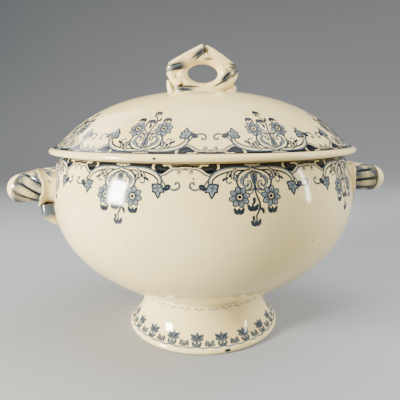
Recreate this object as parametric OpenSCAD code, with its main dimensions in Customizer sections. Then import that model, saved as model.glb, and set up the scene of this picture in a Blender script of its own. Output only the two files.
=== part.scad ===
// Round soup tureen of glazed white earthenware: a bowl on a spreading foot,
// two loop handles luted to its shoulder, and a loose domed lid with a twig finial.
// +X runs from handle to handle, +Z is up, and the origin is the centre of the foot's base.

/* [Bowl] */
// Outer radius at the belly, the widest place
belly_r = 119.25; // [112:0.25:126]
// Height of the belly above the table
belly_z = 114.5; // [110:0.5:118]
// Outer radius just under the rim
rim_r = 110.3; // [107.5:0.1:112]
// Height of the rim, which is the lid's seat
rim_z = 149; // [146:0.5:152]
// Wall thickness of the bowl
bowl_wall = 5; // [4:0.5:5.5]

/* [Foot] */
// Outer radius of the foot's neck, where it meets the bowl
neck_r = 52; // [50:0.5:54]
// Height of the joint between foot and bowl
neck_z = 33.5; // [32:0.5:35]
// Outer radius of the foot's rolled edge
foot_r = 64; // [63:0.5:68]

/* [Lid] */
// Outer radius of the lid's rim
lid_r = 120; // [118:0.5:124]
// Height of the dome's crown
crown_z = 196; // [190:0.5:200]
// Wall thickness of the dome
lid_wall = 4.5; // [4:0.5:5]
// Depth of the locating flange below the seat
flange_drop = 11; // [8:0.5:14]
// Room between the flange and the bowl's mouth, each side
flange_room = 1.6; // [1.2:0.1:2.5]

/* [Handles] */
// Height of both handles' arms
handle_z = 126; // [124:0.5:128]
// Distance from the tureen's middle to the bar of each handle
bar_x = 138; // [136:0.5:142]
// Half the distance between the two arms of a handle
arm_y = 24; // [23:0.5:27]
// Radius of the bar and of the arms
bar_r = 10.4; // [9.5:0.1:11]
// Radius of the collar where an arm meets the bowl
collar_r = 15; // [14:0.25:16]
// Drop of the leaf's tip below the arms
leaf_drop = 31; // [28:0.5:33]

/* [Finial] */
// Thickness of the twigs, front to back
twig_depth = 14; // [11:0.5:18]
// Half the width of the finger hole
hole_half_w = 12.4; // [10:0.2:13]
// Half the height of the finger hole
hole_half_h = 7.3; // [6:0.1:8]

/* [Hidden] */
$fn = 72;

ivory = [0.93, 0.89, 0.79];
blue_touched = [0.72, 0.77, 0.80];
curve_steps = 14;

// A cubic curve through two ends, pulled by two handles, moved sideways by gap.
function bez(p, t) = pow(1 - t, 3) * p[0] + 3 * pow(1 - t, 2) * t * p[1]
                     + 3 * (1 - t) * t * t * p[2] + t * t * t * p[3];
function bez_run(p, t) = pow(1 - t, 2) * (p[1] - p[0]) + 2 * (1 - t) * t * (p[2] - p[1])
                         + t * t * (p[3] - p[2]);
function left_of(v) = [-v[1], v[0]] / norm(v);
function curve(p, n, gap = 0) =
    [for (i = [0:n]) bez(p, i / n) + gap * left_of(bez_run(p, i / n))];
function reversed(list) = [for (i = [len(list) - 1:-1:0]) list[i]];

// Bowl outline, as radius and height.
foot_joint = [neck_r, neck_z];
joint_inner = [neck_r - 5, neck_z - 2.5];
floor_z = neck_z + 3;
belly = [foot_joint, [neck_r + 21.3, neck_z + 12.3], [belly_r, belly_z - 47], [belly_r, belly_z]];
shoulder_rise = rim_z - belly_z;
shoulder_r = (pow(shoulder_rise, 2) + pow(belly_r - rim_r, 2)) / (2 * (belly_r - rim_r));
shoulder_turn = asin((shoulder_rise - 1.5) / shoulder_r);
function shoulder(gap) =
    [for (i = [1:curve_steps])
        [belly_r - shoulder_r, belly_z]
        + (shoulder_r - gap) * [cos(shoulder_turn * i / curve_steps),
                                sin(shoulder_turn * i / curve_steps)]];
mouth_r = rim_r - bowl_wall;
bowl_skin = concat(curve(belly, curve_steps), shoulder(0));
bowl_lining = concat(curve(belly, curve_steps, bowl_wall), shoulder(bowl_wall));
rim_lip = [[rim_r - 1.2, rim_z], [mouth_r + 1.2, rim_z]];

// Foot outline.
foot_skin = [foot_joint, [neck_r - 2.2, neck_z - 13], [foot_r - 9, 12], [foot_r - 3, 6]];
foot_lining = [joint_inner, [neck_r - 7.2, neck_z - 14.5], [foot_r - 15, 10], [foot_r - 8.2, 1.2]];
foot_roll = [[foot_r - 1, 4.8], [foot_r, 3.4], [foot_r, 2.2], [foot_r - 0.7, 0.8], [foot_r - 2, 0],
             [foot_r - 7, 0]];

// Lid outline.
dome = [[0, crown_z], [lid_r / 2, crown_z], [lid_r - 29, rim_z + 29], [lid_r - 9.5, rim_z + 8.8]];
dome_skin = curve(dome, curve_steps + 4);
dome_lining = curve(dome, curve_steps + 4, -lid_wall);
lid_edge = [[lid_r - 5.8, rim_z + 5.9], [lid_r - 3.8, rim_z + 4.8], [lid_r - 1.8, rim_z + 3.9],
            [lid_r - 0.4, rim_z + 2.8], [lid_r, rim_z + 1.6], [lid_r - 0.4, rim_z + 0.6],
            [lid_r - 1.2, rim_z]];
seat_inner_r = lid_r - 13;
flange_out_r = mouth_r - flange_room;
flange_in_r = flange_out_r - 4.3;
flange_top = [for (p = reversed(dome_lining)) if (p[0] > flange_in_r && p[0] < flange_out_r) p];
function lining_z(r) = lookup(r, dome_lining);

// Handle places. The arms run along X and the bar along Y. What is luted on starts well inside the
// bowl's wall and is cut by the bowl's skin.
inside_x = 90;
leaf_reach = 60;
collar_face_x = bar_x - 15;
collar_tip_x = bar_x - 12;
leaf_top_z = handle_z - collar_r;
leaf_tip_z = handle_z - leaf_drop;
leaf_half_w = 10;
leaf_proud = 7;

// Finial outlines, as X and height above the crown. The twigs' feet run down into the dome, which cuts them.
foot_depth = -6;
crossing = [0.9, 36];
hole_middle = [0.6, 13.9];
twig_left = [crossing, [-1.8, 37.2], [-6.3, 34.9], [-13.8, 30], [-23.8, 24], [-27.8, 22.3],
             [-30, 18.7], [-29.3, 14.7], [-26.8, 9.6], [-23.8, 4.6], [-20.8, 0],
             [-19, foot_depth], [crossing[0], foot_depth]];
twig_right = [crossing, [2.7, 37.5], [13.7, 30.4], [21.7, 23.6], [27.2, 20.7], [30, 17],
              [30.2, 14.7], [28.7, 12.5], [23.7, 5.6], [16.5, 0.5], [14, foot_depth],
              [crossing[0], foot_depth]];
leaf_left = [[-27.9, 8.6], [-28.6, 3.5], [-27.2, foot_depth], [-19, foot_depth], [-20.8, 0],
             [-23.8, 4.6], [-26.2, 8.6]];
leaf_right = [[14, foot_depth], [16.5, 0.5], [23.7, 5.6], [27.4, 4.8], [28.6, 2], [28, foot_depth]];

// The whole space inside the bowl's outer skin, for cutting what is luted to it.
module bowl_space() {
    rotate_extrude()
        polygon(concat([[0, joint_inner[1]], joint_inner], bowl_skin, [[0, rim_z - 1.5]]));
}

// The whole space under the dome's outer skin.
module dome_space() {
    rotate_extrude()
        polygon(concat(dome_skin, [[0, dome_skin[len(dome_skin) - 1][1]]]));
}

// The bowl is a shell of one wall thickness with a closed floor.
module bowl() {
    color(ivory)
    rotate_extrude()
        polygon(concat([[0, joint_inner[1]], joint_inner], bowl_skin, rim_lip,
                       reversed(bowl_lining), [[0, floor_z]]));
}

// The foot spreads from its neck to a rolled edge and is open underneath.
module foot() {
    color(ivory)
    rotate_extrude()
        polygon(concat(curve(foot_skin, curve_steps), foot_roll,
                       reversed(curve(foot_lining, curve_steps))));
}

// The bar of a handle with its two ball ends.
module bar() {
    translate([bar_x, arm_y, handle_z])
        rotate([90, 0, 0])
        cylinder(h = 2 * arm_y, r = bar_r);
    for (side = [-1, 1])
        translate([bar_x, side * arm_y, handle_z])
            sphere(r = bar_r);
}

// One fluted arm's plain body, from inside the bowl to the bar.
module arm(side) {
    translate([inside_x, side * arm_y, handle_z])
        rotate([0, 90, 0])
        cylinder(h = bar_x - inside_x, r = bar_r);
}

// A loop handle on the +X side: two arms and the bar, cast in one.
module loop() {
    difference() {
        union() {
            bar();
            arm(-1);
            arm(1);
        }
        bowl_space();
    }
}

// The collar that flares from an arm onto the bowl.
module collar(side) {
    difference() {
        translate([inside_x, side * arm_y, handle_z])
            rotate([0, 90, 0]) {
                cylinder(h = collar_face_x - inside_x, r = collar_r);
                translate([0, 0, collar_face_x - inside_x])
                    cylinder(h = collar_tip_x - collar_face_x, r1 = collar_r, r2 = bar_r + 1);
            }
        arm(side);
        bowl_space();
    }
}

// The leaf that hangs from a collar and lies on the bowl.
module leaf(side) {
    intersection() {
        difference() {
            rotate_extrude()
                polygon([[inside_x, leaf_tip_z], [belly_r - 2, leaf_tip_z],
                         [belly_r + leaf_proud - 2, leaf_tip_z + 5],
                         [belly_r + leaf_proud, leaf_top_z], [belly_r + leaf_proud, handle_z],
                         [inside_x, handle_z]]);
            bowl_space();
        }
        difference() {
            translate([inside_x, side * arm_y, 0])
                rotate([90, 0, 90])
                linear_extrude(height = leaf_reach)
                polygon([[0, leaf_tip_z], [leaf_half_w * 0.7, leaf_tip_z + 5],
                         [leaf_half_w, leaf_top_z], [leaf_half_w, handle_z],
                         [-leaf_half_w, handle_z], [-leaf_half_w, leaf_top_z],
                         [-leaf_half_w * 0.7, leaf_tip_z + 5]]);
            translate([inside_x, side * arm_y, handle_z])
                rotate([0, 90, 0])
                cylinder(h = leaf_reach, r = collar_r);
        }
    }
}

// The lid's dome with its rolled rim and flat seat.
module lid_dome() {
    color(ivory)
    rotate_extrude()
        polygon(concat(dome_skin, lid_edge, [[seat_inner_r, rim_z]], reversed(dome_lining)));
}

// The flange that keeps the lid centred in the bowl's mouth.
module lid_flange() {
    color(ivory)
    rotate_extrude()
        polygon(concat([[flange_in_r, lining_z(flange_in_r)],
                        [flange_in_r, rim_z - flange_drop + 0.8],
                        [flange_in_r + 0.8, rim_z - flange_drop],
                        [flange_out_r - 0.8, rim_z - flange_drop],
                        [flange_out_r, rim_z - flange_drop + 0.8],
                        [flange_out_r, lining_z(flange_out_r)]],
                       flange_top));
}

// A flat piece of the finial, standing on the dome.
module on_dome(outline, depth, hole = false) {
    difference() {
        translate([0, depth / 2, crown_z])
            rotate([90, 0, 0])
            linear_extrude(height = depth)
            difference() {
                polygon(outline);
                if (hole)
                    polygon([for (a = [0:10:350])
                        hole_middle + [hole_half_w * cos(a), hole_half_h * sin(a)]]);
            }
        dome_space();
    }
}

module handed(left) {
    if (left)
        mirror([1, 0, 0])
            children();
    else
        children();
}

bowl();
foot();
color(blue_touched) handed(true) loop();  // handle_left_loop
color(ivory) handed(true) collar(-1);  // handle_left_front_collar
color(ivory) handed(true) collar(1);  // handle_left_rear_collar
color(blue_touched) handed(true) leaf(-1);  // handle_left_front_leaf
color(blue_touched) handed(true) leaf(1);  // handle_left_rear_leaf
color(blue_touched) handed(false) loop();  // handle_right_loop
color(ivory) handed(false) collar(-1);  // handle_right_front_collar
color(ivory) handed(false) collar(1);  // handle_right_rear_collar
color(blue_touched) handed(false) leaf(-1);  // handle_right_front_leaf
color(blue_touched) handed(false) leaf(1);  // handle_right_rear_leaf
lid_dome();
lid_flange();
color(blue_touched) on_dome(twig_left, twig_depth, hole = true);  // finial_twig_left
color(blue_touched) on_dome(twig_right, twig_depth, hole = true);  // finial_twig_right
color(blue_touched) on_dome(leaf_left, twig_depth - 4);  // finial_leaf_left
color(blue_touched) on_dome(leaf_right, twig_depth - 4);  // finial_leaf_right
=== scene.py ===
"""Looks of the soup tureen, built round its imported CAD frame.

Outlines are in millimetres until a mesh is made. Angles run round the axis from the front (-Y) towards +X.
"""
from math import asin, atan2, cos, exp, pi, radians, sin, sqrt
from types import SimpleNamespace

import bmesh
import bpy
import numpy as np
from mathutils import Matrix, Vector, geometry


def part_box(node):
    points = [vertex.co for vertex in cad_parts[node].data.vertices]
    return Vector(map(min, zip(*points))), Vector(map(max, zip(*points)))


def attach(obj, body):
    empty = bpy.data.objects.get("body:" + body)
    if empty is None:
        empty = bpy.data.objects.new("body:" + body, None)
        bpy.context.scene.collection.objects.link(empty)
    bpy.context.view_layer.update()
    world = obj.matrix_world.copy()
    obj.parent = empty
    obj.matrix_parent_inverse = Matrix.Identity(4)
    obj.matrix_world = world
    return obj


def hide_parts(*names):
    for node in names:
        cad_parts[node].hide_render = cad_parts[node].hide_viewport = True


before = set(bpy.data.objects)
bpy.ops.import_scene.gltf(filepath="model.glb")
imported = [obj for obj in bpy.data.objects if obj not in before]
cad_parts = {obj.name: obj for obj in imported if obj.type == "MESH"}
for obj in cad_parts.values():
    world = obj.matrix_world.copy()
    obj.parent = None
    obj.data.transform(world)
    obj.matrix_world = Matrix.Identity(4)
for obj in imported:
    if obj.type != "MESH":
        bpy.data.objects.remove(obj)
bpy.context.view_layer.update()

MM = 0.001
BOWL, LID = "tureen", "lid"
IVORY_SLOT, TOUCHED_SLOT, PRINT_SLOT = "ivory_glaze", "blue_touched_glaze", "blue_print"


def cad(node):
    """The lowest and highest corner of a CAD node, in millimetres."""
    low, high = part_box(node)
    return np.array(low) / MM, np.array(high) / MM


# ---- sizes, from the frame
BELLY_R = cad("bowl")[1][0]
NECK_Z = cad("foot")[1][2]
RIM_Z = cad("bowl")[1][2]
FOOT_R = cad("foot")[1][0]
LID_R = cad("lid_dome")[1][0]
CROWN_Z = cad("lid_dome")[1][2]
FLANGE_R = cad("lid_flange")[1][0]
FLANGE_Z = cad("lid_flange")[0][2]
LOOP_LOW, LOOP_HIGH = cad("handle_right_loop")
LOOP_Z = 0.5 * (LOOP_LOW[2] + LOOP_HIGH[2])
BAR_R = 0.5 * (LOOP_HIGH[2] - LOOP_LOW[2])
BAR_X = LOOP_HIGH[0] - BAR_R
ARM_Y = LOOP_HIGH[1] - BAR_R

# Sizes that no box of the frame gives: the height of the shoulder, where the foot meets the bowl, the bowl's
# outside at its rim, the walls, and how far the bowl's floor reaches up and down from the neck.
SHOULDER_RISE = 34.5
BELLY_Z = RIM_Z - SHOULDER_RISE
NECK_R = 52.0
RIM_R = 110.3
BOWL_WALL = 5.0
LID_WALL = 4.5
FOOT_WALL = 6.0
FLANGE_WALL = 4.3
FLOOR_UP = 3.0
FLOOR_DOWN = 2.5


# ---- outlines
def cubic(p0, p1, p2, p3, n):
    """Even places along a cubic curve."""
    t = np.linspace(0, 1, n + 1)[:, None]
    p0, p1, p2, p3 = (np.array(p, float) for p in (p0, p1, p2, p3))
    return (1 - t) ** 3 * p0 + 3 * (1 - t) ** 2 * t * p1 + 3 * (1 - t) * t * t * p2 + t ** 3 * p3


def sideways(line, gap):
    """The line moved to its left by gap."""
    run = np.gradient(line, axis=0)
    run /= np.linalg.norm(run, axis=1)[:, None]
    return line + gap * np.stack([-run[:, 1], run[:, 0]], axis=1)


def fillet(points, cut=0.6, steps=4):
    """The open outline with each inner corner rounded off, cut millimetres to either side of it."""
    p = [np.array(q, float) for q in points]
    out = [p[0]]
    for a, b, c in zip(p, p[1:], p[2:]):
        da, dc = a - b, c - b
        la, lc = np.linalg.norm(da), np.linalg.norm(dc)
        s, e = b + da / la * min(cut, la * 0.45), b + dc / lc * min(cut, lc * 0.45)
        for t in np.linspace(0, 1, steps + 1):
            out.append((1 - t) ** 2 * s + 2 * (1 - t) * t * b + t * t * e)
    out.append(p[-1])
    return np.array(out)


def smooth(points, step=0.9):
    """A smooth curve through the points, as places about one step apart."""
    p = np.array([points[0], *points, points[-1]], float)
    out = []
    for i in range(1, len(p) - 2):
        a, b, c, d = p[i - 1], p[i], p[i + 1], p[i + 2]
        n = max(2, int(np.linalg.norm(c - b) / step) + 1)
        for t in np.arange(n) / n:
            out.append(0.5 * (2 * b + (c - a) * t + (2 * a - 5 * b + 4 * c - d) * t * t
                              + (3 * b - a - 3 * c + d) * t ** 3))
    out.append(p[-2])
    return np.array(out)


def shoulder_line(gap):
    """The bowl from its belly up to its rim, as an arc, gap millimetres inside the skin."""
    rise = RIM_Z - BELLY_Z
    lip_height = 1.5
    radius = (rise ** 2 + (BELLY_R - RIM_R) ** 2) / (2 * (BELLY_R - RIM_R))
    a = np.linspace(0, asin((rise - lip_height) / radius), 41)[1:]
    x, z = BELLY_R - radius + (radius - gap) * np.cos(a), BELLY_Z + (radius - gap) * np.sin(a)
    return np.stack([x, z], axis=1)


# The rolled edges of lid and foot: how far in from the widest line, and how far above the rim or the ground.
LID_ROLL = ((9.5, 8.8), (5.8, 5.7), (3.6, 4.5), (1.7, 3.8), (0.4, 2.8), (0, 1.7), (0.3, 0.6), (1.2, 0.02))
FOOT_ROLL = ((3, 6), (1.0, 4.7), (0.1, 3.2), (0.1, 1.9), (0.8, 0.7), (2, 0.0))

BELLY_LINE = cubic((NECK_R, NECK_Z), (NECK_R + 21.3, NECK_Z + 12.3), (BELLY_R, BELLY_Z - 47),
                   (BELLY_R, BELLY_Z), 80)
BOWL_SKIN = np.vstack([BELLY_LINE, shoulder_line(0)])
BOWL_LINING = np.vstack([sideways(BELLY_LINE, BOWL_WALL), shoulder_line(BOWL_WALL)])
DOME_LINE = cubic((0, CROWN_Z), (LID_R / 2, CROWN_Z), (LID_R - 29, RIM_Z + 29),
                  (LID_R - 9.5, RIM_Z + 8.8), 90)
LID_EDGE = smooth([(LID_R - inward, RIM_Z + up) for inward, up in LID_ROLL], 0.7)
LID_SKIN = np.vstack([DOME_LINE, LID_EDGE[1:]])
LID_LINING = sideways(DOME_LINE, -LID_WALL)
FOOT_LINE = cubic((NECK_R, NECK_Z), (NECK_R - 2.2, NECK_Z - 13), (FOOT_R - 9, 12), (FOOT_R - 3, 6), 50)
FOOT_EDGE = smooth([(FOOT_R - inward, up) for inward, up in FOOT_ROLL], 0.5)
FOOT_SKIN = np.vstack([FOOT_LINE, FOOT_EDGE[1:]])


# ---- round surfaces
# The slow waves of a hand-finished surface: depth, waves round the ware, phase for each millimetre up it, and
# start. They fade out within CALM millimetres of a still height, and within CALM_AXIS of the axis.
WAVES = ((0.5, 3, 0.06, 0.7), (0.3, 5, -0.11, 2.1), (0.3, 2, 0.16, 0), (0.16, 9, 0.21, 0))
CALM = 9.0
CALM_AXIS = 40.0


class Skin:
    """A surface of revolution, measured by the angle from the front and the length along its outline."""

    def __init__(self, line, wave=0.0, still=()):
        self.line = np.array(line, float)
        self.length = np.concatenate([[0], np.cumsum(np.linalg.norm(np.diff(self.line, axis=0), axis=1))])
        run = np.gradient(self.line, self.length, axis=0)
        self.run = run / np.linalg.norm(run, axis=1)[:, None]
        self.wave, self.still = wave, still

    def along(self, height):
        """The length along the outline at which it first reaches that height."""
        z = self.line[:, 1]
        order = 1 if z[-1] > z[0] else -1
        return float(np.interp(height, z[::order], self.length[::order]))

    def ripple(self, angle, r, z):
        """How far the hand-finished surface lies off the true one."""
        calm = np.ones_like(z)
        for low, high in self.still:
            calm = np.minimum(calm, np.clip(np.maximum(low - z, z - high) / CALM, 0, 1))
        wave = sum(deep * np.sin(around * angle + up * z + start) for deep, around, up, start in WAVES)
        return self.wave * wave * calm * np.clip(r / CALM_AXIS, 0, 1)

    def at(self, angle, s, lift=0.0):
        """Places and normals, in metres, lift millimetres off the surface."""
        angle, s = np.broadcast_arrays(np.asarray(angle, float), np.asarray(s, float))
        r, z = np.interp(s, self.length, self.line[:, 0]), np.interp(s, self.length, self.line[:, 1])
        dr, dz = np.interp(s, self.length, self.run[:, 0]), np.interp(s, self.length, self.run[:, 1])
        size = np.hypot(dr, dz)
        nr, nz = dz / size, -dr / size
        if self.line[-1][1] < self.line[0][1]:
            nr, nz = -nr, -nz
        off = lift + self.ripple(angle, r, z)
        r, z = r + nr * off, z + nz * off
        out = np.stack([r * np.sin(angle), -r * np.cos(angle), z], axis=-1) * MM
        normal = np.stack([nr * np.sin(angle), -nr * np.cos(angle), nz], axis=-1)
        return out, normal


bowl_skin = Skin(BOWL_SKIN, wave=0.22, still=((RIM_Z - 6, RIM_Z + 1), (0, NECK_Z + FLOOR_UP)))
lid_skin = Skin(LID_SKIN, wave=0.26, still=((RIM_Z - 1, RIM_Z + 6),))
foot_skin = Skin(FOOT_SKIN)


# ---- making pieces
def smooth_faces(mesh):
    """Shades the mesh smoothly."""
    mesh.polygons.foreach_set("use_smooth", [True] * len(mesh.polygons))


def solid(name, verts, faces, material):
    """A smooth mesh object in the scene."""
    mesh = bpy.data.meshes.new(name)
    mesh.from_pydata([tuple(v) for v in verts], [], [tuple(f) for f in faces])
    mesh.update()
    smooth_faces(mesh)
    mesh.materials.append(material)
    ob = bpy.data.objects.new(name, mesh)
    bpy.context.scene.collection.objects.link(ob)
    return ob


def piece(name, verts, faces, material, body, replaces=()):
    """One mesh piece, with its material, its body and the CAD nodes it stands for."""
    ob = solid(name, verts, faces, material)
    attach(ob, body)
    if replaces:
        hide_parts(*replaces)
    return ob


def outward(ob):
    """Turns the faces of a closed mesh so that they look out."""
    bm = bmesh.new()
    bm.from_mesh(ob.data)
    bmesh.ops.recalc_face_normals(bm, faces=bm.faces)
    bm.to_mesh(ob.data)
    bm.free()


def mark(ob, name, values):
    """Stores one number for each vertex, for the material to read."""
    layer = ob.data.attributes.new(name, "FLOAT", "POINT")
    layer.data.foreach_set("value", np.asarray(values, np.float32))


def revolved(outline, rings=256, ripple=None):
    """Vertices and faces of a solid of revolution. Its outline starts on the axis, or is a closed loop."""
    outline = np.array(outline, float)
    on_axis = outline[0][0] < 1e-6
    angle = np.arange(rings) * 2 * pi / rings
    verts, index = [], []
    for r, z in outline:
        if r < 1e-6:
            index.append([len(verts)] * rings)
            verts.append((0, 0, z * MM))
        else:
            off = ripple(angle, np.full(rings, r), np.full(rings, z)) if ripple else np.zeros(rings)
            index.append(list(range(len(verts), len(verts) + rings)))
            verts += [((r + o) * sin(a) * MM, -(r + o) * cos(a) * MM, z * MM)
                      for a, o in zip(angle, off)]
    faces = []
    rows = list(zip(index, index[1:])) + ([] if on_axis else [(index[-1], index[0])])
    for low, high in rows:
        for i in range(rings):
            j = (i + 1) % rings
            face = [low[i], low[j], high[j], high[i]]
            faces.append(list(dict.fromkeys(face)))
    return verts, faces


def swept(rings, close_ends=True):
    """Vertices and faces of a tube through rings of points, each of the same number of points."""
    count = len(rings[0])
    verts = [tuple(p) for ring in rings for p in ring]
    faces = []
    for start in range(0, count * (len(rings) - 1), count):
        for i in range(count):
            j = (i + 1) % count
            faces.append((start + i, start + j, start + count + j, start + count + i))
    if close_ends:
        for k in (0, len(rings) - 1):
            verts.append(tuple(np.mean(rings[k], axis=0)))
            faces += [(k * count + i, k * count + (i + 1) % count, len(verts) - 1) for i in range(count)]
    return verts, faces


# ---- materials
def colour(code):
    """The linear colour of six hex digits."""
    out = []
    for i in (0, 2, 4):
        c = int(code[i:i + 2], 16) / 255
        out.append(c / 12.92 if c <= 0.04045 else ((c + 0.055) / 1.055) ** 2.4)
    return (*out, 1.0)


class Nodes:
    """Short names for adding and joining shader nodes."""

    def __init__(self, name):
        self.material = bpy.data.materials.new(name)
        self.material.use_nodes = True
        self.tree = self.material.node_tree
        self.shader = self.tree.nodes["Principled BSDF"]

    def node(self, kind, **values):
        """A new node, with its sockets and settings given by name."""
        made = self.tree.nodes.new("ShaderNode" + kind)
        for key, value in values.items():
            if key in made.inputs:
                made.inputs[key].default_value = value
            else:
                setattr(made, key, value)
        return made

    def join(self, out, into):
        self.tree.links.new(out, into)

    def noise(self, scale, detail=3.0, rough=0.55, seed=0.0):
        """Noise that is fixed to the piece."""
        coords = self.node("TexCoord")
        place = self.node("Mapping")
        place.inputs["Location"].default_value = (seed, seed * 0.7, -seed)
        made = self.node("TexNoise", Scale=scale, Detail=detail, Roughness=rough)
        self.join(coords.outputs["Object"], place.inputs["Vector"])
        self.join(place.outputs["Vector"], made.inputs["Vector"])
        return made.outputs["Fac"]

    def window(self, value, low, high, top=1.0):
        """The value stretched so that low gives 0 and high gives top."""
        made = self.node("MapRange", clamp=True)
        made.inputs["From Min"].default_value = low
        made.inputs["From Max"].default_value = high
        made.inputs["To Max"].default_value = top
        self.join(value, made.inputs["Value"])
        return made.outputs["Result"]

    def times(self, a, b):
        made = self.node("Math", operation="MULTIPLY")
        self.join(a, made.inputs[0])
        self.join(b, made.inputs[1])
        return made.outputs["Value"]

    def mix(self, factor, a, b):
        """Colour a with colour b over it by factor. Each colour is a constant or another node's output."""
        made = self.node("Mix", data_type="RGBA", clamp_factor=True)
        self.join(factor, made.inputs["Factor"])
        for socket, value in ((made.inputs[6], a), (made.inputs[7], b)):
            if isinstance(value, tuple):
                socket.default_value = value
            else:
                self.join(value, socket)
        return made.outputs[2]

    def attribute(self, name):
        return self.node("Attribute", attribute_name=name).outputs["Fac"]

    def glazed(self):
        """The material, with the glaze's gloss."""
        self.shader.inputs["Roughness"].default_value = GLOSS
        self.shader.inputs["IOR"].default_value = GLAZE_IOR
        return self.material


IVORY = colour("eeda9c")
IVORY_WARM = colour("e0c683")
STAIN = colour("b08a57")
SPECK = colour("5a3c22")
# Brushed blue and dark lines for the handles and finial. On the handles they also paint shade in the reed
# grooves, at the sleeves' ends and round the collars.
WASH_AND_SHADE = colour("37434e")
LINE_AND_SHADE = colour("121d26")
GLOSS = 0.11
GLAZE_IOR = 1.52

# The tones of the print, from the bare glaze to the dark band, with their colours and how far each is worn.
PAPER, LIGHT, MID, DARK, BAND = 0, 1, 2, 3, 4
INK = {LIGHT: colour("6a7374"), MID: colour("3d474c"), DARK: colour("1b252e"), BAND: colour("060a13")}
WEAR = {LIGHT: 0.24, MID: 0.24, DARK: 0.06}
FADED = colour("b4b19c")


def glaze(name, painted):
    """Old cream glaze: uneven tone, faint tea stains, a few specks, and on the handles and finial brushed
    blue, which on the handles also paints shade in the grooves, at the sleeves' ends and round the collars.
    """
    n = Nodes(name)
    base = n.mix(n.window(n.noise(11, 3), 0.38, 0.72), IVORY, IVORY_WARM)
    blotches = n.window(n.noise(46, 5, 0.7, seed=3.1), 0.58, 0.78, top=0.5)
    stained_parts = n.window(n.noise(9, 2, 0.5, seed=7.7), 0.45, 0.62)
    base = n.mix(n.times(blotches, stained_parts), base, STAIN)
    specks = n.node("TexVoronoi", Scale=150.0, Randomness=1.0)
    n.join(n.node("TexCoord").outputs["Object"], specks.inputs["Vector"])
    spots = n.window(specks.outputs["Distance"], 0.16, 0.08)
    a_few = n.window(n.noise(70, 2, 0.5, seed=1.3), 0.66, 0.7)
    base = n.mix(n.times(spots, a_few), base, SPECK)
    if painted:
        # Blue tint and dark lines from the pieces' attributes: brushed blue, and on the handles painted shade
        # as well.
        uneven = n.window(n.noise(300, 4, 0.6, seed=5.0), 0.0, 0.45, top=0.97)
        base = n.mix(n.times(n.attribute("wash_and_shade"), uneven), base, WASH_AND_SHADE)
        base = n.mix(n.attribute("line"), base, LINE_AND_SHADE)
    n.join(base, n.shader.inputs["Base Color"])
    bump = n.node("Bump", Strength=0.12, Distance=0.0012)
    n.join(n.noise(55, 2, 0.5, seed=2.0), bump.inputs["Height"])
    n.join(bump.outputs["Normal"], n.shader.inputs["Normal"])
    return n.glazed()


def ink(tone):
    """The printed blue, under the same glaze. All but the dark band are a little worn in places."""
    n = Nodes("print_tone_%d" % tone)
    if tone in WEAR:
        worn = n.window(n.noise(430, 3, 0.6, seed=4.0 + tone), 0.45, 0.72, top=WEAR[tone])
        n.join(n.mix(worn, INK[tone], FADED), n.shader.inputs["Base Color"])
    else:
        n.shader.inputs["Base Color"].default_value = INK[tone]
    return n.glazed()


ivory = glaze(IVORY_SLOT, False)
touched = glaze(TOUCHED_SLOT, True)
inks = {tone: ink(tone) for tone in INK}


# ---- bowl, foot and lid
def build_bowl():
    """The bowl, with its lip rounded over and its floor closed."""
    lip = fillet([BOWL_SKIN[-1], (RIM_R - 1, RIM_Z), (RIM_R - BOWL_WALL + 1, RIM_Z), BOWL_LINING[-1]], 0.9)
    low = NECK_Z - FLOOR_DOWN
    under = fillet([(0, low), (NECK_R - FOOT_WALL, low), (NECK_R, NECK_Z)], 0.5)
    outline = np.vstack([under[:-1], BOWL_SKIN, lip[1:-1], BOWL_LINING[::-1], [(0, NECK_Z + FLOOR_UP)]])
    verts, faces = revolved(outline, ripple=bowl_skin.ripple)
    outward(piece("bowl_body", verts, faces, ivory, BOWL, ["bowl"]))


def build_foot():
    """The spreading foot, open underneath."""
    lining = cubic((NECK_R - FOOT_WALL, NECK_Z - FLOOR_DOWN), (NECK_R - 8, NECK_Z - 14.5), (FOOT_R - 16, 10),
                   (FOOT_R - 8.2, 1.2), 40)
    sole = fillet([(FOOT_R - 2, 0), (FOOT_R - 7, 0), lining[-1]], 0.8)
    outline = np.vstack([FOOT_SKIN, sole[1:], lining[::-1][1:]])
    verts, faces = revolved(outline)
    outward(piece("foot_ring", verts, faces, ivory, BOWL, ["foot"]))


def build_lid():
    """The dome with its rolled edge, and the flange luted inside it."""
    seat = fillet([LID_SKIN[-1], (LID_R - 13, RIM_Z + 0.02), LID_LINING[-1]], 0.8)
    outline = np.vstack([LID_SKIN, seat[1:-1], LID_LINING[::-1]])
    outline[-1][0] = 0
    verts, faces = revolved(outline, ripple=lid_skin.ripple)
    outward(piece("lid_body", verts, faces, ivory, LID, ["lid_dome"]))

    def under_dome(r):
        return float(np.interp(r, LID_LINING[:, 0], LID_LINING[:, 1])) + 0.3

    inner = FLANGE_R - FLANGE_WALL
    outline = fillet([(FLANGE_R, under_dome(FLANGE_R)), (FLANGE_R, FLANGE_Z), (inner, FLANGE_Z),
                      (inner, under_dome(inner))], 1.3)
    verts, faces = revolved(outline)
    outward(piece("lid_locating_flange", verts, faces, ivory, LID, ["lid_flange"]))


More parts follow.
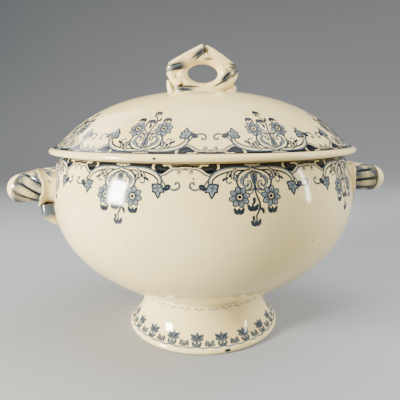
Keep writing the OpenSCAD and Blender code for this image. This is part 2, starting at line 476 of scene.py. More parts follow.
# ---- handles
# How each handle was luted on: its sag (droop, tilt), the run of its reeds (twist, phase), the cut of its
# sleeves' ends (slant, turned, short), their thickness at the root (swell), the collars' lips (tips, shift,
# lip, chin), and how far the drop leaves stand out (leaf), with their blue (dab).
HANDS = {
    "left": SimpleNamespace(
        droop=0.06, tilt=0.03, twist=0.0115, phase=0.04, slant=-0.28, turned=0.24, short=0.0, swell=1.4,
        tips=5.8, shift=1.4, lip=13.0, chin=2.4, leaf=9.6, dab=1.4),
    "right": SimpleNamespace(
        droop=0.02, tilt=0.0, twist=0.0022, phase=0.8, slant=0.06, turned=0.05, short=2.2, swell=-0.9,
        tips=2.8, shift=-1.4, lip=12.8, chin=0.8, leaf=7.0, dab=0.5)}
REEDS = 8
SLEEVE_END = BAR_X + 2.0
SLEEVE_ROOT = 117.5
SLEEVE_EDGE = 1.6
WASH_AND_SHADE_RUN = 8.0


def hang(hand, x, y, z):
    """The small sag and tilt with which a handle was luted on."""
    return z - hand.droop * np.maximum(x - RIM_R, 0) - hand.tilt * (y + ARM_Y)


def sleeve(side, end, hand):
    """A reeded sleeve with a slow twist, thicker at its root, that ends in a rounded edge round the bar."""
    phi = np.arange(270) * 2 * pi / 270
    rings, lines, tints = [], [], []
    stop = SLEEVE_END - hand.short
    rounding = np.array([SLEEVE_EDGE, 1.1, 0.7, 0.4, 0.15, 0])
    steps = np.append(np.arange(RIM_R - 2, stop - SLEEVE_EDGE, 0.5), stop - rounding)
    for x in steps:
        out = np.clip((x - SLEEVE_ROOT) / (stop - SLEEVE_ROOT), 0, 1)
        u = (REEDS * (phi / (2 * pi) + end * hand.twist * (x - SLEEVE_END)) + hand.phase) % 1.0
        reed = np.sqrt(1 - (2 * u - 1) ** 2) ** 0.85
        edge = np.clip((x - stop + SLEEVE_EDGE) / SLEEVE_EDGE, 0, 1)
        full_r = BAR_R + hand.swell + (0.3 - hand.swell) * out
        groove_depth = 2.2 - 0.8 * out
        r = full_r * sqrt(1 - (edge * 0.62) ** 2) - groove_depth * (1 - reed)
        skew = x + out * r * (hand.slant * np.sin(phi) + hand.turned * np.cos(phi))
        y = end * ARM_Y + end * r * np.cos(phi)
        rings.append(np.stack([side * skew, y, hang(hand, x, y, LOOP_Z + r * np.sin(phi))], axis=1) * MM)
        # Painted shade: dark lines along the reed grooves, a soft darkening round them, and a darker rounded
        # end against the bar. The blue tint near both ends, by the bar and inside the collar, is deeper in
        # the grooves, where it is painted shade too.
        off_groove = np.minimum(u, 1 - u)
        lines.append(np.maximum(np.clip(1.8 - off_groove / 0.08, 0, 1), edge ** 3))
        at_end, at_root = (x - stop) / WASH_AND_SHADE_RUN, (x - SLEEVE_ROOT - 4) / WASH_AND_SHADE_RUN
        ends = max(exp(-at_end ** 2), exp(-at_root ** 2))
        groove_shade = 0.75 * np.exp(-(off_groove / 0.15) ** 2)
        tints.append(np.clip(ends * (1.6 - 0.6 * reed + 0.4 * np.sin(3 * phi + end)) + groove_shade, 0, 1))
    return swept(rings), np.concatenate(lines), np.concatenate(tints)


def bar(side, hand):
    """The smooth bar with its two ball ends."""
    phi = np.arange(96) * 2 * pi / 96
    a = np.radians(np.linspace(-89, 0, 26))
    y = np.concatenate([-ARM_Y + BAR_R * np.sin(a), np.linspace(-ARM_Y, ARM_Y, 60)[1:-1],
                        ARM_Y - BAR_R * np.sin(a[::-1])])
    r = np.concatenate([BAR_R * np.cos(a), np.full(58, BAR_R), BAR_R * np.cos(a[::-1])])
    rings, lines = [], []
    for place, size in zip(y, r):
        x, up = BAR_X + size * np.cos(phi), size * np.sin(phi)
        z = hang(hand, x, place, LOOP_Z + up)
        rings.append(np.stack([side * x, place + 0 * phi, z], axis=1) * MM)
        # Painted shade: a dark line on the bar just past each sleeve's rounded end, in the crease under its
        # edge.
        edge = SLEEVE_END - hand.short + hand.slant * up + hand.turned * (abs(place) - ARM_Y)
        near_sleeve = np.clip((abs(place) - 12) / 2, 0, 1)
        lines.append(0.9 * np.exp(-(np.maximum(x - edge, 0) / 0.8) ** 2) * near_sleeve)
    return swept(rings), np.concatenate(lines)


def build_loop(side, name, hand):
    """A loop handle, cast in one: two reeded sleeves and the smooth bar between them."""
    (verts, faces), lines = bar(side, hand)
    lines, tints = [lines, [0, 0]], [np.zeros(len(verts))]
    for end in (-1, 1):
        (more_verts, more_faces), more_lines, more_tints = sleeve(side, end, hand)
        faces += [tuple(i + len(verts) for i in f) for f in more_faces]
        verts += more_verts
        lines += [more_lines, [0, 1]]
        tints += [more_tints, [0, 0]]
    ob = piece(name + "_reeded", verts, faces, touched, BOWL, [name])
    outward(ob)
    mark(ob, "line", np.concatenate(lines))
    mark(ob, "wash_and_shade", np.concatenate(tints))


def bowl_x(y, z):
    """How far out along X the bowl's skin lies at that place."""
    r = np.interp(z, BOWL_SKIN[:, 1], BOWL_SKIN[:, 0])
    return np.sqrt(np.maximum(r * r - y * y, 0))


def build_collar(side, end, name, hand):
    """The calyx that closes round an arm at the bowl. Its flared lip reaches further out above and below."""
    phi = np.arange(96) * 2 * pi / 96
    around = len(phi)
    up, low = np.clip(np.sin(phi), 0, 1), np.clip(-np.sin(phi), 0, 1)

    def ring(x, rho):
        rho = rho + np.zeros(around)
        y, z = end * (ARM_Y + rho * np.cos(phi)), LOOP_Z + rho * np.sin(phi)
        return np.stack([side * x, y, z], axis=1) * MM

    def skin(rho):
        return bowl_x(ARM_Y + rho * np.cos(phi), LOOP_Z + rho * np.sin(phi)) - 1.2

    reach = hand.tips if end < 0 else 0.8
    edge = SLEEVE_ROOT + 2.0 + hand.shift + reach * (up ** 1.6 + low ** 1.6) + 0.35 * np.cos(10 * phi)
    lip_r = hand.lip - 0.4 * up + 1.0 * low + hand.chin * low ** 4
    waist_r = min(hand.lip - 1.0, 12.0) - 1.3 * up + 1.0 * low
    hollow_r = 10.3
    root_r = 12.4 - 1.6 * up + 1.0 * low
    rings = [ring(skin(hollow_r), hollow_r), ring(edge - 3.5, lip_r - 1.8), ring(edge - 0.8, lip_r - 1.3)]
    # Painted shade in the collar's mouth round the sleeve: the inner rings, and the inner side of the lip's
    # roll, are dark.
    lines = [0, 1, 0.8]
    for turn in np.linspace(-0.7, 1, 8):
        a = turn * pi / 2
        rings.append(ring(edge - 0.9 + 0.9 * cos(a), lip_r - 0.9 + 0.9 * sin(a)))
        lines.append(0.5 if turn < -0.5 else 0)
    for u in np.linspace(0, 1, 24)[1:]:
        pinch = sin(pi * min(u / 0.55, 1) / 2) if u < 0.55 else cos(pi * (u - 0.55) / 0.9)
        far_r = lip_r + (root_r - lip_r) * u
        rho = far_r + (waist_r - far_r) * max(pinch, 0) ** 1.5
        rings.append(ring(edge - 0.9 + (skin(rho) - edge + 0.9) * u, rho))
        lines.append(0)
    verts, faces = swept(rings, close_ends=False)
    last = (len(rings) - 1) * around
    faces += [(last + i, last + (i + 1) % around, (i + 1) % around, i) for i in range(around)]
    ob = piece(name + "_calyx", verts, faces, touched, BOWL, [name])
    outward(ob)
    # Painted shade on the collar's underside towards the bowl: a dark line and a broader darkening. The tint
    # at the upper tip of the lip is brushed blue.
    shade = np.linspace(0, 1, len(rings))[:, None] > 0.45
    tip = np.exp(-(np.linspace(0, 1, len(rings)) / 0.42) ** 4)[:, None]
    mark(ob, "line", np.maximum(np.repeat(lines, around), (shade * 0.9 * low ** 14).ravel()))
    mark(ob, "wash_and_shade", np.maximum(tip * up ** 5, 0.9 * shade * low ** 5).ravel())


def build_leaf(side, end, name, hand):
    """The drop leaf under a collar, modelled on the bowl's skin."""
    across, down, widest = 41, 61, 0.45
    middle = atan2(side * (BELLY_R - 3), -end * ARM_Y)
    s_top = bowl_skin.along(LOOP_Z - BAR_R - 3)
    s_tip = bowl_skin.along(cad(name)[0][2] + 0.3)
    verts, lines, tints = [], [], []
    for layer in (0, 1):
        for v in np.linspace(0, 1, down):
            shoulder = sin(min(v / widest, 1) * pi / 2)
            past = max((v - widest) / (1 - widest), 0)
            half_w = 9.5 * (0.7 + 0.3 * shoulder) * sqrt(max(1 - past ** 2.4, 0))
            for w in np.linspace(-1, 1, across):
                dome = (1 - abs(w) ** 3) ** 0.6
                rib = exp(-(w / 0.13) ** 2) + 0.8 * exp(-((abs(w) - 0.52) / 0.12) ** 2)
                lift = dome * (hand.leaf * min(1, (1.06 - v) / 0.6) - 0.9 * rib)
                p, _ = bowl_skin.at(middle + half_w * w / BELLY_R, s_top + (s_tip - s_top) * v,
                                    lift if layer else -0.8)
                verts.append(p)
                lines.append(0.7 * rib * max(0, 1 - v * 1.3) * layer)
                tints.append(min(1, hand.dab * exp(-((v - 0.2) / 0.36) ** 2)) * layer)
    count = across * down
    faces = []
    for layer in (0, count):
        for row in range(layer, layer + count - across, across):
            for i in range(row, row + across - 1):
                faces.append((i, i + 1, i + across + 1, i + across))
    rim = (list(range(across)) + [j * across + across - 1 for j in range(1, down)]
           + [(down - 1) * across + i for i in range(across - 2, -1, -1)]
           + [j * across for j in range(down - 2, 0, -1)])
    faces += [(a, b, b + count, a + count) for a, b in zip(rim, rim[1:] + rim[:1])]
    ob = piece(name + "_drop", verts, faces, touched, BOWL, [name])
    outward(ob)
    mark(ob, "line", lines)
    mark(ob, "wash_and_shade", tints)


# ---- finial
def limb(points, radii, depth=1.5):
    """A twig through places (x, y, height above the crown), with its radii at even steps. It is thicker
    front to back by depth."""
    path = smooth([(x, y, CROWN_Z + up) for x, y, up in points], 1)
    sizes = np.interp(np.linspace(0, 1, len(path)), np.linspace(0, 1, len(radii)), radii)
    run = np.gradient(path, axis=0)
    run /= np.linalg.norm(run, axis=1)[:, None]
    phi = np.arange(28)[:, None] * 2 * pi / 28
    rings = []
    for p, d, size in zip(path, run, sizes):
        across = np.cross(d, [0, 1, 0])
        across /= np.linalg.norm(across)
        through = np.cross(across, d)
        rings.append(p + size * (np.cos(phi) * across + depth * np.sin(phi) * through))
    return swept(rings)


def joined(name, parts, replaces, low, high):
    """One solid out of several closed parts, merged on a fine grid, softened, and kept inside its box."""
    verts, faces = [], []
    for part_verts, part_faces in parts:
        faces += [tuple(i + len(verts) for i in q) for q in part_faces]
        verts += [tuple(c * MM for c in p) for p in part_verts]
    ob = piece(name, verts, faces, touched, LID, replaces)
    outward(ob)
    merge = ob.modifiers.new("merge", "REMESH")
    merge.mode = "VOXEL"
    merge.voxel_size = 0.5 * MM
    soft = ob.modifiers.new("soft", "SMOOTH")
    soft.iterations = 4
    graph = bpy.context.evaluated_depsgraph_get()
    mesh = bpy.data.meshes.new_from_object(ob.evaluated_get(graph))
    ob.modifiers.clear()
    ob.data = mesh
    smooth_faces(mesh)
    places = np.zeros(len(mesh.vertices) * 3)
    mesh.vertices.foreach_get("co", places)
    places = np.clip(places.reshape(-1, 3) / MM, low, high)
    mesh.vertices.foreach_set("co", (places * MM).ravel())
    mesh.update()
    return ob, places


def dabs(places, spots):
    """How strongly the brush touched each place, front and back alike. A spot is x, height above the crown,
    half length, half width, turn and strength."""
    x, up = places[:, 0], places[:, 2] - CROWN_Z
    out = np.zeros(len(places))
    for sx, sz, long, wide, turn, strength in spots:
        c, s = cos(radians(turn)), sin(radians(turn))
        u, v = (x - sx) * c + (up - sz) * s, -(x - sx) * s + (up - sz) * c
        out = np.maximum(out, strength * np.exp(-((u / long) ** 4 + (v / wide) ** 4)))
    return out


def build_finial():
    """The two crossed twigs round the finger hole, and the two small leaves that stand beside them."""
    middle_x, middle_up, half_w, half_h, thick = 0.6, 13.9, 12.4, 7.3, 4.8

    def ring(start, end):
        turns = np.radians(np.linspace(start, end, 15))
        wide, high = half_w + thick, half_h + thick
        return limb([(middle_x + wide * cos(t), 0, middle_up + high * sin(t)) for t in turns],
                    [thick], 1.4)

    left = [ring(84, 276),
            limb([(1.4, -1.6, 33.6), (-5, -1, 29), (-14, -0.6, 23.8), (-25.8, -0.2, 17.9)],
                 [3.4, 4.8, 5.2, 5, 4.3]),
            limb([(-27.8, -0.6, 18.8), (-23, -1.2, 16.8), (-14, -1.4, 18)], [2.6, 4.2, 3]),
            limb([(-25.4, 0, 16), (-23.4, 0, 12), (-18.2, 0, 5.4)], [3.8, 4.4, 5.2], 1.35),
            limb([(-17, 0, 18), (-17.4, 0, 8)], [5.4, 5.4], 1.25),
            limb([(-21.5, -1.8, 2.2), (-12, -2.4, 1), (3, -1.8, 0.4)], [2.4, 3.4, 3.8], 1.3),
            limb([(-17.5, 0, 3), (-16.5, 0, -5)], [5.4, 6], 1.1),
            limb([(-8, 0, 1), (2, 0, -1)], [4.6, 4.8], 1.3)]
    right = [ring(-96, 96),
             limb([(1.6, 1, 33.6), (9, 0.6, 28), (16, 0.2, 22.9), (25.4, 0, 16.6)],
                  [3.2, 4.6, 5.2, 5, 4.3]),
             limb([(28, -0.2, 16.2), (25.4, -0.8, 14.4), (18, -1.2, 12)], [2.8, 4.2, 4.2]),
             limb([(27.4, -1.2, 14.6), (23, -2.4, 8.2), (14, -2.6, 2.8), (2, -1.8, 0.4)],
                  [2.6, 3.2, 3.6, 3.8], 1.3),
             limb([(18, 0, 17.5), (18.5, 0, 9)], [4.2, 4.4], 1.3),
             limb([(11.5, 0, 3), (11.5, 0, -5)], [5.2, 5.6], 1.1),
             limb([(8, 0, 1), (0, 0, -1)], [4.6, 4.8], 1.3)]
    leaf_left = [limb([(-20.5, 1, -5), (-25.3, 1, 0.5), (-27.6, 1, 9.6)], [3.6, 2.7, 1], 1.4)]
    leaf_right = [limb([(18, 1, -6), (22.6, 1, 0.5), (26.2, 1, 4.6)], [5, 5, 3.4], 1.2),
                  limb([(15, 1, -5), (19, 1, 1.5), (24, 1, 4)], [3.6, 3.8, 3.6], 1.2)]
    lines = [
        (-12.5, 3.6, 9.5, 0.8, -3, 1), (13.6, 6, 6, 0.8, 29, 1), (0.9, 32, 5, 0.6, 90, 1),
        (-5.4, 27.2, 6.6, 0.7, 35, 0.9), (-2.6, 26.6, 4.4, 0.6, 38, 0.8), (-21.6, 16.4, 7.4, 0.9, 10, 1),
        (18.4, 11.6, 6.4, 0.9, 44, 1), (24.2, 20.4, 3.8, 0.8, -12, 0.9), (23.6, 18.2, 3.4, 0.6, -6, 0.8),
        (25.6, 13.4, 4, 0.8, 50, 1), (4.2, 24.4, 3.2, 0.9, 0, 0.9), (-22.5, 19.9, 5, 0.6, 14, 0.9),
        (-18.8, 18.2, 4, 0.6, 18, 0.8), (-15, 0.9, 5.2, 0.7, -3, 0.8), (27.6, 15.8, 2.6, 0.6, 40, 0.8),
        (-22.6, 10.6, 1, 0.9, 0, 0.7)]
    tints = [
        (-21, 18.6, 8.4, 3.3, 14, 1), (-2.6, 29, 6.2, 2.8, 40, 1), (19, 10.8, 5.4, 3.4, 50, 1),
        (26.4, 17.2, 5.2, 4, -28, 0.9), (-14.8, 1.3, 7.6, 2.6, -6, 1), (-29, 19.6, 3.4, 4.4, 0, 0.8),
        (3.6, 29.4, 1.6, 3.8, 20, 0.5)]
    for node, ending, parts, drawn, brushed in (
            ("finial_twig_left", "_bark", left, lines, tints),
            ("finial_twig_right", "_bark", right, lines, tints),
            ("finial_leaf_left", "_sprig", leaf_left, [], []),
            ("finial_leaf_right", "_sprig", leaf_right, [], [])):
        ob, places = joined(node + ending, parts, [node], *cad(node))
        mark(ob, "line", dabs(places, drawn))
        mark(ob, "wash_and_shade", dabs(places, brushed))


# ---- the printed pattern, drawn flat
# Every function returns shapes in millimetres, each painted over the ones before it. X runs round the ware,
# and Y away from the rim.
def stroke(tone, points, widths, offset=0, step=0.9, pen=0.4):
    """One brush stroke: widths are its widths at even places along it, each made wider by the pen, and offset
    moves it sideways."""
    path = smooth(points, step)
    run = np.gradient(path, axis=0)
    run /= np.linalg.norm(run, axis=1)[:, None] + 1e-12
    side = np.stack([-run[:, 1], run[:, 0]], axis=1)
    t = np.linspace(0, 1, len(path))
    w = np.maximum(np.interp(t, np.linspace(0, 1, len(widths)), widths) + pen, 0.12) / 2
    left, right = path + side * (offset + w)[:, None], path + side * (offset - w)[:, None]
    quads = [np.array([left[i], right[i], right[i + 1], left[i + 1]]) for i in range(len(path) - 1)]
    return [(tone, quads)]


def blob(tone, x, y, rx, ry, turn=0, n=14):
    """A filled ellipse, turned by so many degrees."""
    a = np.arange(n) * 2 * pi / n
    c, s = cos(radians(turn)), sin(radians(turn))
    ex, ey = rx * np.cos(a), ry * np.sin(a)
    return [(tone, [np.stack([x + ex * c - ey * s, y + ex * s + ey * c], axis=1)])]


def placed(shapes, x=0, y=0, turn=0, size=1, flip=False):
    """The shapes mirrored if flip is set, scaled, turned by so many degrees and moved, in that order."""
    c, s = cos(radians(turn)), sin(radians(turn))
    out = []
    for tone, polys in shapes:
        moved = []
        for q in polys:
            u = q * size * (np.array([-1, 1]) if flip else 1)
            moved.append(np.stack([x + u[:, 0] * c - u[:, 1] * s, y + u[:, 0] * s + u[:, 1] * c], axis=1))
        out.append((tone, moved))
    return out


def both_sides(shapes):
    """The shapes and their mirror image."""
    return placed(shapes) + placed(shapes, flip=True)


def ribbon(points, widths, edge=0.62, lit=0.1):
    """A scroll arm: a dark edge all round, a pale blue within it, and a lit side of bare glaze."""
    inner = [max(w - 2 * edge, 0.05) + 0.6 for w in widths]
    return (stroke(DARK, points, [w + 0.6 for w in widths]) + stroke(LIGHT, points, inner, offset=lit, pen=0)
            + stroke(PAPER, points, [0.55 * w for w in inner], offset=-lit * 2.2, pen=0))


def daisy(size, turn):
    """An eight-petalled flower round a pale eye with a dark dot."""
    petals = []
    for k in range(8):
        a = turn + 360 * k / 8
        petals.append((a, size * cos(radians(a)), size * sin(radians(a))))
    out = []
    for a, x, y in petals:
        out += blob(DARK, 0.64 * x, 0.64 * y, 0.41 * size, 0.3 * size, a)
    for a, x, y in petals:
        out += blob(LIGHT, 0.66 * x, 0.66 * y, 0.28 * size, 0.19 * size, a)
        out += stroke(MID, [(0.42 * x, 0.42 * y), (0.66 * x, 0.66 * y)], [0.8, 0.3])
    for tone, share in ((DARK, 0.36), (PAPER, 0.26), (BAND, 0.17)):
        out += blob(tone, 0, 0, share * size, share * size)
    return out


def bud(size):
    """A three-lobed bud, opening along +Y."""
    out = []
    for side in (-1, 1):
        out += stroke(DARK, [(0, 0), (side * 1.1, 0.5), (side * 1.9, 2)], [1, 1.3, 0.1])
    out += stroke(DARK, [(0, -0.3), (0, 0.8), (0.1, 1.9)], [0.7, 0.8, 0.1])
    return placed(out, size=size)


def comma(size):
    """A small bud with a curled tail."""
    out = blob(DARK, 0, 0, 0.95, 0.7, 20) + stroke(DARK, [(0.4, 0), (1.3, 0.7), (1.6, 1.8)], [1, 0.6, 0.2])
    return placed(out, size=size)


def leaf_end():
    """The lobed leaf at the end of a scroll arm, from its stalk at the origin along +X."""
    lobes = ((6, 4.6), (58, 3), (-44, 3.7), (118, 2.9), (-100, 2.4))
    out = []
    for tone, thick, cut in ((DARK, 2.5, 0), (LIGHT, 1.5, 0.9)):
        out += blob(tone, 2, 0, 0.75 * thick, 0.75 * thick)
        for turn, reach in lobes:
            x = cos(radians(turn)) * (reach - cut)
            y = sin(radians(turn)) * (reach - cut)
            lobe = [(2, 0), (2 + 0.55 * x, 0.55 * y), (2 + x, y)]
            out += stroke(tone, lobe, [thick, 1.12 * thick, 0.3], pen=0)
    out += stroke(MID, [(0.6, 0), (2.4, 0.1), (4, 0)], [0.3, 0.4, 0.2])
    out += stroke(MID, [(2, -1.6), (2.3, 0), (2, 1.6)], [0.1, 0.3, 0.1])
    return out


def volute():
    """One of the heart-shaped pair of scrolls, on the side of +X."""
    out = ribbon([(1.2, 4.4), (5.4, 6), (8.3, 9.3), (8.2, 12.8), (5.6, 14.8), (3.2, 13.7), (3.1, 11.7),
                  (4.6, 11.4)], [1.4, 2.3, 3.8, 4, 3, 2.4, 2, 1.4])
    out += blob(DARK, 10.9, 9.4, 1.9, 1, -22) + blob(DARK, 10, 7.6, 1.3, 0.7, -55)
    out += blob(LIGHT, 10.8, 9.4, 1.25, 0.45, -22)
    out += stroke(MID, [(6.2, 7.4), (8, 9.6), (8, 12.4)], [0.3, 0.5, 0.3])
    out += blob(MID, 4.3, 8.6, 0.7, 0.5, 30)
    out += stroke(MID, [(3, 6.6), (4.2, 7.4), (3.6, 8.4)], [0.4, 0.5, 0.3])
    return out


def arm():
    """The long scroll arm on the side of +X, with its leaf, tendrils and side sprigs."""
    out = ribbon([(-3, 5.2), (1, 3.6), (8.6, 3.2), (16, 4), (21.8, 6.2), (25.2, 10), (24.2, 13.4),
                  (22, 12.8), (21.6, 11.6)],
                 [1, 1.9, 2.1, 2.2, 2.6, 2.8, 2.4, 1.7, 1], lit=-0.12)
    out += placed(leaf_end(), 23.6, 11.4, turn=78, size=1.38)
    out += ribbon([(9.6, 3.8), (11.9, 5.3), (12.6, 7.8), (12.3, 9.2)], [0.8, 1.4, 1.6, 1])
    out += blob(DARK, 13.9, 7.2, 1.4, 0.8, 60)
    out += stroke(MID, [(13.4, 4.6), (15.4, 6.4), (16.6, 8.6)], [0.5, 0.45, 0.4])
    out += blob(DARK, 16.2, 8.9, 1.4, 0.8, 25) + blob(DARK, 17.8, 9.6, 1.2, 0.7, 60)
    out += stroke(MID, [(16.2, 9.4), (15.9, 11.2), (14.2, 11.7), (13.4, 10.5)], [0.4, 0.5, 0.5, 0.3])
    return out


def fan():
    """The ribs between the two scrolls."""
    out = []
    for k in (-2, -1, 0, 1, 2):
        out += stroke(MID if k else DARK, [(0.95 * k, 5.4 + 0.25 * abs(k)), (0.75 * k, 9.5), (0.1 * k, 13.7)],
                      [0.3, 0.45, 0.4])
    out += blob(DARK, 0, 14, 0.8, 1)
    return out


def stem():
    """The wavy stem that hangs from the fan, with buds to either side."""
    out = stroke(DARK, [(0, 14), (0.2, 17.5), (1.2, 20.5), (2.3, 24), (1.6, 27.6), (0.2, 30.6), (0.6, 33.4)],
                 [0.5, 0.6, 0.7, 0.7, 0.65, 0.55, 0.35])
    out += placed(comma(1.4), -1, 21.2, turn=70)
    out += placed(bud(1.6), -1.9, 27, turn=180)
    out += stroke(DARK, [(2, 26), (3.9, 27.2), (4.4, 29.6)], [0.6, 1.6, 0.4])
    out += placed(bud(1.5), 0.3, 35.8, turn=170) + placed(comma(1.2), -1.6, 31.4, turn=60)
    return out


def hanging(side):
    """One daisy with its stalk and the bud under it."""
    out = stroke(MID, [(0, 14.4), (side * 2.6, 15.9), (side * 5, 16.2)], [0.6, 0.6, 0.4])
    out += stroke(MID, [(side * 0.5, 14.9), (side * 1.8, 17.2), (side * 3.6, 18)], [0.3, 0.4, 0.3])
    out += placed(daisy(6, 12 * side), side * 9.3, 19.6)
    out += placed(bud(1.5), side * 9.8, 28.6, turn=180)
    return out


def cartouche():
    """The small ornament in the gap of the band, over the bouquet."""
    out = []
    for tone, x, rx, ry in ((MID, 2.6, 1.2, 0.7), (PAPER, 2.5, 0.6, 0.3)):
        for side in (-1, 1):
            out += blob(tone, side * x, 1.4, rx, ry, side * 35)
    out += blob(MID, 0, 1.3, 0.9, 1.1) + blob(PAPER, 0, 1.2, 0.4, 0.5) + blob(DARK, 0, 2.6, 0.6, 0.4)
    for side in (-1, 1):
        out += stroke(MID, [(side * 5.2, 0.4), (side * 4, 1.9), (side * 2.2, 2.9), (0, 3.2)],
                      [0.3, 0.45, 0.45, 0.3])
    return out


def band_half(end):
    """The dark band on the side of +X: a long bar, a pod and the thin bar that runs on to the next repeat."""
    out = stroke(DARK, [(0, 0.2), (end / 2, 0.2), (end, 0.2)], [0.5, 0.5, 0.5], step=2)
    out += stroke(BAND, [(4.8, 1.5), (12, 1.6), (19.6, 1.8)], [1.9, 3.1, 3.1, 2.5], step=1.6)
    for k in range(6):
        out += blob(DARK, 7 + 2.2 * k, 1.9, 0.6, 0.22, n=8)
    out += stroke(BAND, [(21.4, 0.9), (24, 2.9), (27, 3.8), (30, 1.9)], [1.6, 5, 4.6, 0.9])
    out += stroke(DARK, [(23.4, 2.2), (25.6, 3.4), (27.8, 3.4)], [0.1, 0.4, 0.1])
    out += ribbon([(24.4, 7.4), (27.6, 6.2), (30.8, 3.8), (33.8, 2.9), (36.2, 3.6), (36.4, 5.3), (34.8, 5.4)],
                  [0.5, 1.1, 1.5, 1.2, 1, 0.9, 0.7], edge=0.4)
    out += stroke(BAND, [(31, 1.3), (35, 1.5), (end, 1.4)], [0.5, 1, 1], step=1.6)
    out += stroke(MID, [(end, 2.6), (end - 1.4, 3.8), (end - 2.4, 2.6)], [0.5, 0.6, 0.4])
    return out


def between(end):
    """The sprig that hangs between two bouquets, on the side of +X."""
    out = stroke(MID, [(24.2, 7.4), (27, 10.6), (29, 13.4)], [0.7, 0.7, 0.6])
    out += blob(DARK, 28.8, 14.6, 1.7, 1, 75) + blob(DARK, 30.4, 13.1, 1.6, 1, 15)
    out += blob(DARK, 30.4, 14.7, 1.3, 0.8, -35) + blob(DARK, 27, 14.6, 1.4, 0.8, 5)
    out += stroke(MID, [(31, 14.6), (33.8, 15.4), (36.4, 14), (36.3, 11.6), (34.6, 11.2), (34.2, 12.6)],
                  [0.6, 0.8, 0.9, 0.8, 0.7, 0.9])
    return out


def bouquet(period):
    """One repeat of the border, centred on its bouquet. It hangs along +Y from the rim."""
    half = period / 2
    out = both_sides(band_half(half) + between(half)) + cartouche()
    out += fan() + both_sides(arm()) + both_sides(volute())
    out += hanging(-1) + hanging(1) + stem()
    return out


def palmette():
    """The small flower repeated round the foot, on its pale footing, with the dashes beside it."""
    out = stroke(LIGHT, [(-8.4, 0.9), (-4.2, 0.3), (0, 1), (4.2, 0.3), (8.4, 0.9)],
                 [0.5, 0.8, 0.5, 0.8, 0.5])
    out += both_sides(stroke(MID, [(0.2, 1), (1.6, 2), (2.7, 3.4), (1.6, 4.4)], [0.8, 1.6, 1.3, 0.4]))
    out += stroke(MID, [(0, 0.8), (0, 2.8), (0, 5.4)], [0.9, 1.6, 0.8])
    out += both_sides(stroke(MID, [(0.2, 5), (2.4, 5.8), (4.6, 6)], [0.8, 2, 0.3]))
    out += both_sides(stroke(MID, [(0.3, 5.2), (2.2, 7.2), (4.7, 8.8)], [1.2, 2.8, 0.4]))
    out += stroke(MID, [(0, 5), (0, 7.4), (0, 10.2)], [1.2, 2.6, 0.3])
    out += both_sides(stroke(DARK, [(0.5, 5.6), (1.8, 7.2), (3, 8.2)], [0, 0.5, 0]))
    out += both_sides(stroke(MID, [(6, 1.6), (6.1, 3.6), (6.4, 5.4)], [1.2, 1.2, 0.6]))
    out += both_sides(stroke(MID, [(7.8, 1.4), (7.7, 3.2), (7.5, 4.8)], [1.1, 1.1, 0.5]))
    return out


def neck_border():
    """The faint border at the top of the foot."""
    return both_sides(blob(LIGHT, 2.2, 2.6, 1.7, 0.5, 15)) + blob(LIGHT, 0, 1.2, 1.2, 0.4)


def chip(across, down):
    """A worn spot, made of bits small enough to follow a tight curve."""
    out = []
    for i in range(-across, across + 1):
        for j in range(-down, down + 1):
            if (i / across) ** 2 + (j / down) ** 2 <= 1:
                out += blob(DARK, 0.4 * i, 0.3 * j, 0.34, 0.26, n=8)
    return out


# ---- putting the print on
# How far the print's upper side stands off the skin, and its lower side.
PRINT_LIFT, PRINT_DEPTH = 0.06, -0.05


def inside(poly, points):
    """Which of the points lie inside the polygon."""
    hit = np.zeros(len(points), bool)
    near = np.all((points > poly.min(axis=0)) & (points < poly.max(axis=0)), axis=1)
    x, y = points[near, 0], points[near, 1]
    odd = np.zeros(len(x), bool)
    for (x0, y0), (x1, y1) in zip(poly, np.roll(poly, -1, axis=0)):
        if y0 != y1:
            odd ^= ((y0 > y) != (y1 > y)) & (x < (x1 - x0) * (y - y0) / (y1 - y0) + x0)
    hit[near] = odd
    return hit


def cut_up(shapes):
    """Flat places, and for each tone the triangles in which it is the topmost."""
    places, edges = [], []
    for _, polys in shapes:
        for poly in polys:
            start, count = len(places), len(poly)
            places += [Vector(p) for p in poly]
            edges += [(start + i, start + (i + 1) % count) for i in range(count)]
    places, _, triangles, _, _, _ = geometry.delaunay_2d_cdt(places, edges, [], 0, 1e-4)
    places, triangles = np.array([tuple(p) for p in places]), np.array(triangles)
    middles = places[triangles].mean(axis=1)
    topmost = np.full(len(triangles), PAPER)
    for tone, polys in shapes:
        for poly in polys:
            topmost[inside(poly, middles)] = tone
    return places, {tone: triangles[topmost == tone] for tone in INK if np.any(topmost == tone)}


def printed(name, shapes, skin, body, repeats, first, step, period, edge, size):
    """The shapes repeated round a skin, each one step on from the last. They are period wide, begin at length
    edge along the skin's outline, and grow towards its start by size."""
    places, by_tone = cut_up(shapes)
    for tone, triangles in by_tone.items():
        used = sorted({i for t in triangles for i in t})
        number = {old: new for new, old in enumerate(used)}
        triangles = np.array([[number[i] for i in t] for t in triangles])
        flat = places[used]
        sides = np.vstack([triangles[:, [0, 1]], triangles[:, [1, 2]], triangles[:, [2, 0]]])
        pairs = {tuple(e) for e in sides}
        rim = np.array([e for e in sides if (e[1], e[0]) not in pairs])
        verts, faces, normals = [], [], []
        for k in range(repeats):
            angle = first + (k + flat[:, 0] / period) * step
            top, normal = skin.at(angle, edge - flat[:, 1] * size, PRINT_LIFT)
            under, _ = skin.at(angle, edge - flat[:, 1] * size, PRINT_DEPTH)
            a, b, c = top[triangles[0]]
            turn = 1 if np.dot(np.cross(b - a, c - a), normal[triangles[0][0]]) > 0 else -1
            start = len(verts)
            lower = start + len(flat)
            verts += list(top) + list(under)
            normals += list(normal) + list(-normal)
            faces += [tuple(t[::turn] + start) for t in triangles]
            faces += [tuple(t[::-turn] + lower) for t in triangles]
            faces += [(i + start, i + lower, j + lower, j + start)[::turn] for i, j in rim]
        ob = piece("%s_tone_%d" % (name, tone), verts, faces, inks[tone], body)
        ob.data.normals_split_custom_set_from_vertices([tuple(n) for n in normals])


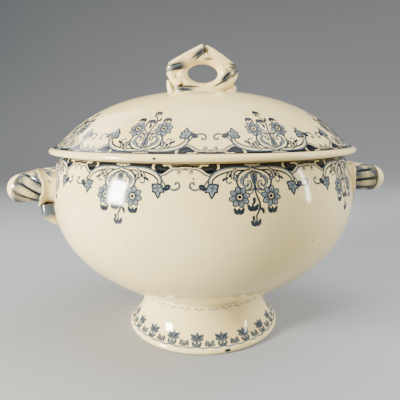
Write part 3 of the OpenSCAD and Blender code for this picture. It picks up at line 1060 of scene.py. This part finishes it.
# ---- putting the tureen together
build_bowl()
build_foot()
build_lid()
for which, side in (("left", -1), ("right", 1)):
    build_loop(side, "handle_%s_loop" % which, HANDS[which])
    for row, end in (("front", -1), ("rear", 1)):
        build_collar(side, end, "handle_%s_%s_collar" % (which, row), HANDS[which])
        build_leaf(side, end, "handle_%s_%s_leaf" % (which, row), HANDS[which])
build_finial()

# The prints lie so many degrees round from the line of sight. The bowl's nine leave a narrow gap at the back,
# as a join in the transfer would.
VIEW_TURN = radians(8.4)
printed("bowl_print", bouquet(80), bowl_skin, BOWL, repeats=9, first=radians(-142.9) - VIEW_TURN,
        step=radians(39.4), period=79, edge=bowl_skin.along(RIM_Z - 1.2), size=1.0)
printed("lid_print", bouquet(80), lid_skin, LID, repeats=9, first=radians(22.3) - VIEW_TURN,
        step=radians(40), period=78, edge=lid_skin.along(RIM_Z + 4.3), size=1.09)
printed("foot_print", palmette(), foot_skin, BOWL, repeats=19, first=radians(-4.9) - VIEW_TURN,
        step=2 * pi / 19, period=17, edge=foot_skin.along(5.0), size=1.18)
printed("neck_print", neck_border(), foot_skin, BOWL, repeats=30, first=0, step=2 * pi / 30, period=10,
        edge=4.6, size=0.9)
printed("foot_chip", chip(6, 4), foot_skin, BOWL, repeats=1, first=radians(16.5) - VIEW_TURN,
        step=2 * pi, period=420, edge=foot_skin.along(2.9), size=1.0)
printed("lid_chip", chip(2, 2), lid_skin, LID, repeats=1, first=radians(-12.8) - VIEW_TURN,
        step=2 * pi, period=740, edge=lid_skin.along(RIM_Z + 2.0), size=1.0)


# ---- floor, light and camera
def studio():
    """A pale round floor that curves up on all sides, and a dim even light."""
    paper = Nodes("studio_paper")
    paper.shader.inputs["Base Color"].default_value = colour("909294")
    paper.shader.inputs["Roughness"].default_value = 0.85
    line = np.vstack([[(0, 0)], fillet([(300, 0), (1700, 0), (2100, 3600)], 700, 16)])
    verts, faces = revolved(line, 96)
    sweep = solid("studio_sweep", verts, faces, paper.material)
    world = bpy.data.worlds.new("soft_room")
    bpy.context.scene.world = world
    world.use_nodes = True
    world.node_tree.nodes["Background"].inputs["Color"].default_value = (0.90, 0.93, 0.97, 1)
    world.node_tree.nodes["Background"].inputs["Strength"].default_value = 0.15


def lamp(name, place, target, width, height, power, tint):
    """A soft box at place, aimed at target. Its spread keeps it off the studio's near wall."""
    light = bpy.data.lights.new(name, "AREA")
    light.shape = "RECTANGLE"
    light.size, light.size_y = width, height
    light.energy = power
    light.spread = radians(125)
    light.color = tint
    ob = bpy.data.objects.new(name, light)
    ob.location = place
    ob.rotation_euler = (Vector(target) - Vector(place)).to_track_quat("-Z", "Y").to_euler()
    bpy.context.scene.collection.objects.link(ob)
    return ob


def camera():
    """Looks a little down at the front, from slightly to the left."""
    distance, height, pitch, roll = 0.3375, 0.1683, radians(10.4), radians(-0.3)
    data = bpy.data.cameras.new("portrait")
    data.lens = 36.2
    data.clip_start = 0.01
    ob = bpy.data.objects.new("portrait", data)
    ob.location = (-distance * sin(VIEW_TURN), -distance * cos(VIEW_TURN), height)
    turn = Matrix.Rotation(-VIEW_TURN, 4, "Z") @ Matrix.Rotation(pi / 2 - pitch, 4, "X")
    ob.rotation_euler = (turn @ Matrix.Rotation(roll, 4, "Z")).to_euler()
    data.shift_x = -0.0070
    bpy.context.scene.collection.objects.link(ob)
    bpy.context.scene.camera = ob


studio()
lamp("key_window", (-1.04, -0.42, 0.35), (0, 0, 0.15), 0.23, 0.4, 28, (1.0, 0.97, 0.92))
lamp("right_fill", (1.3, -0.2, 0.95), (0, 0, 0.14), 1.4, 1.2, 24, (0.96, 0.98, 1.0)).visible_glossy = False
lamp("right_strip", (0.98, -0.42, 0.35), (0, 0, 0.14), 0.05, 0.5, 1.3, (1.0, 1.0, 1.0))
lamp("left_sheen", (-0.64, 0.73, 0.86), (0, 0, 0.15), 0.7, 0.5, 1.9, (0.96, 0.98, 1.0))
lamp("top_soft", (0.05, 0.05, 1.15), (0, 0, 0.1), 1.3, 1.1, 3.1, (1.0, 0.98, 0.95))
lamp("top_fill", (0.1, -0.1, 1.2), (0, 0, 0.1), 0.7, 0.7, 4.4, (1.0, 0.98, 0.95)).visible_glossy = False
camera()
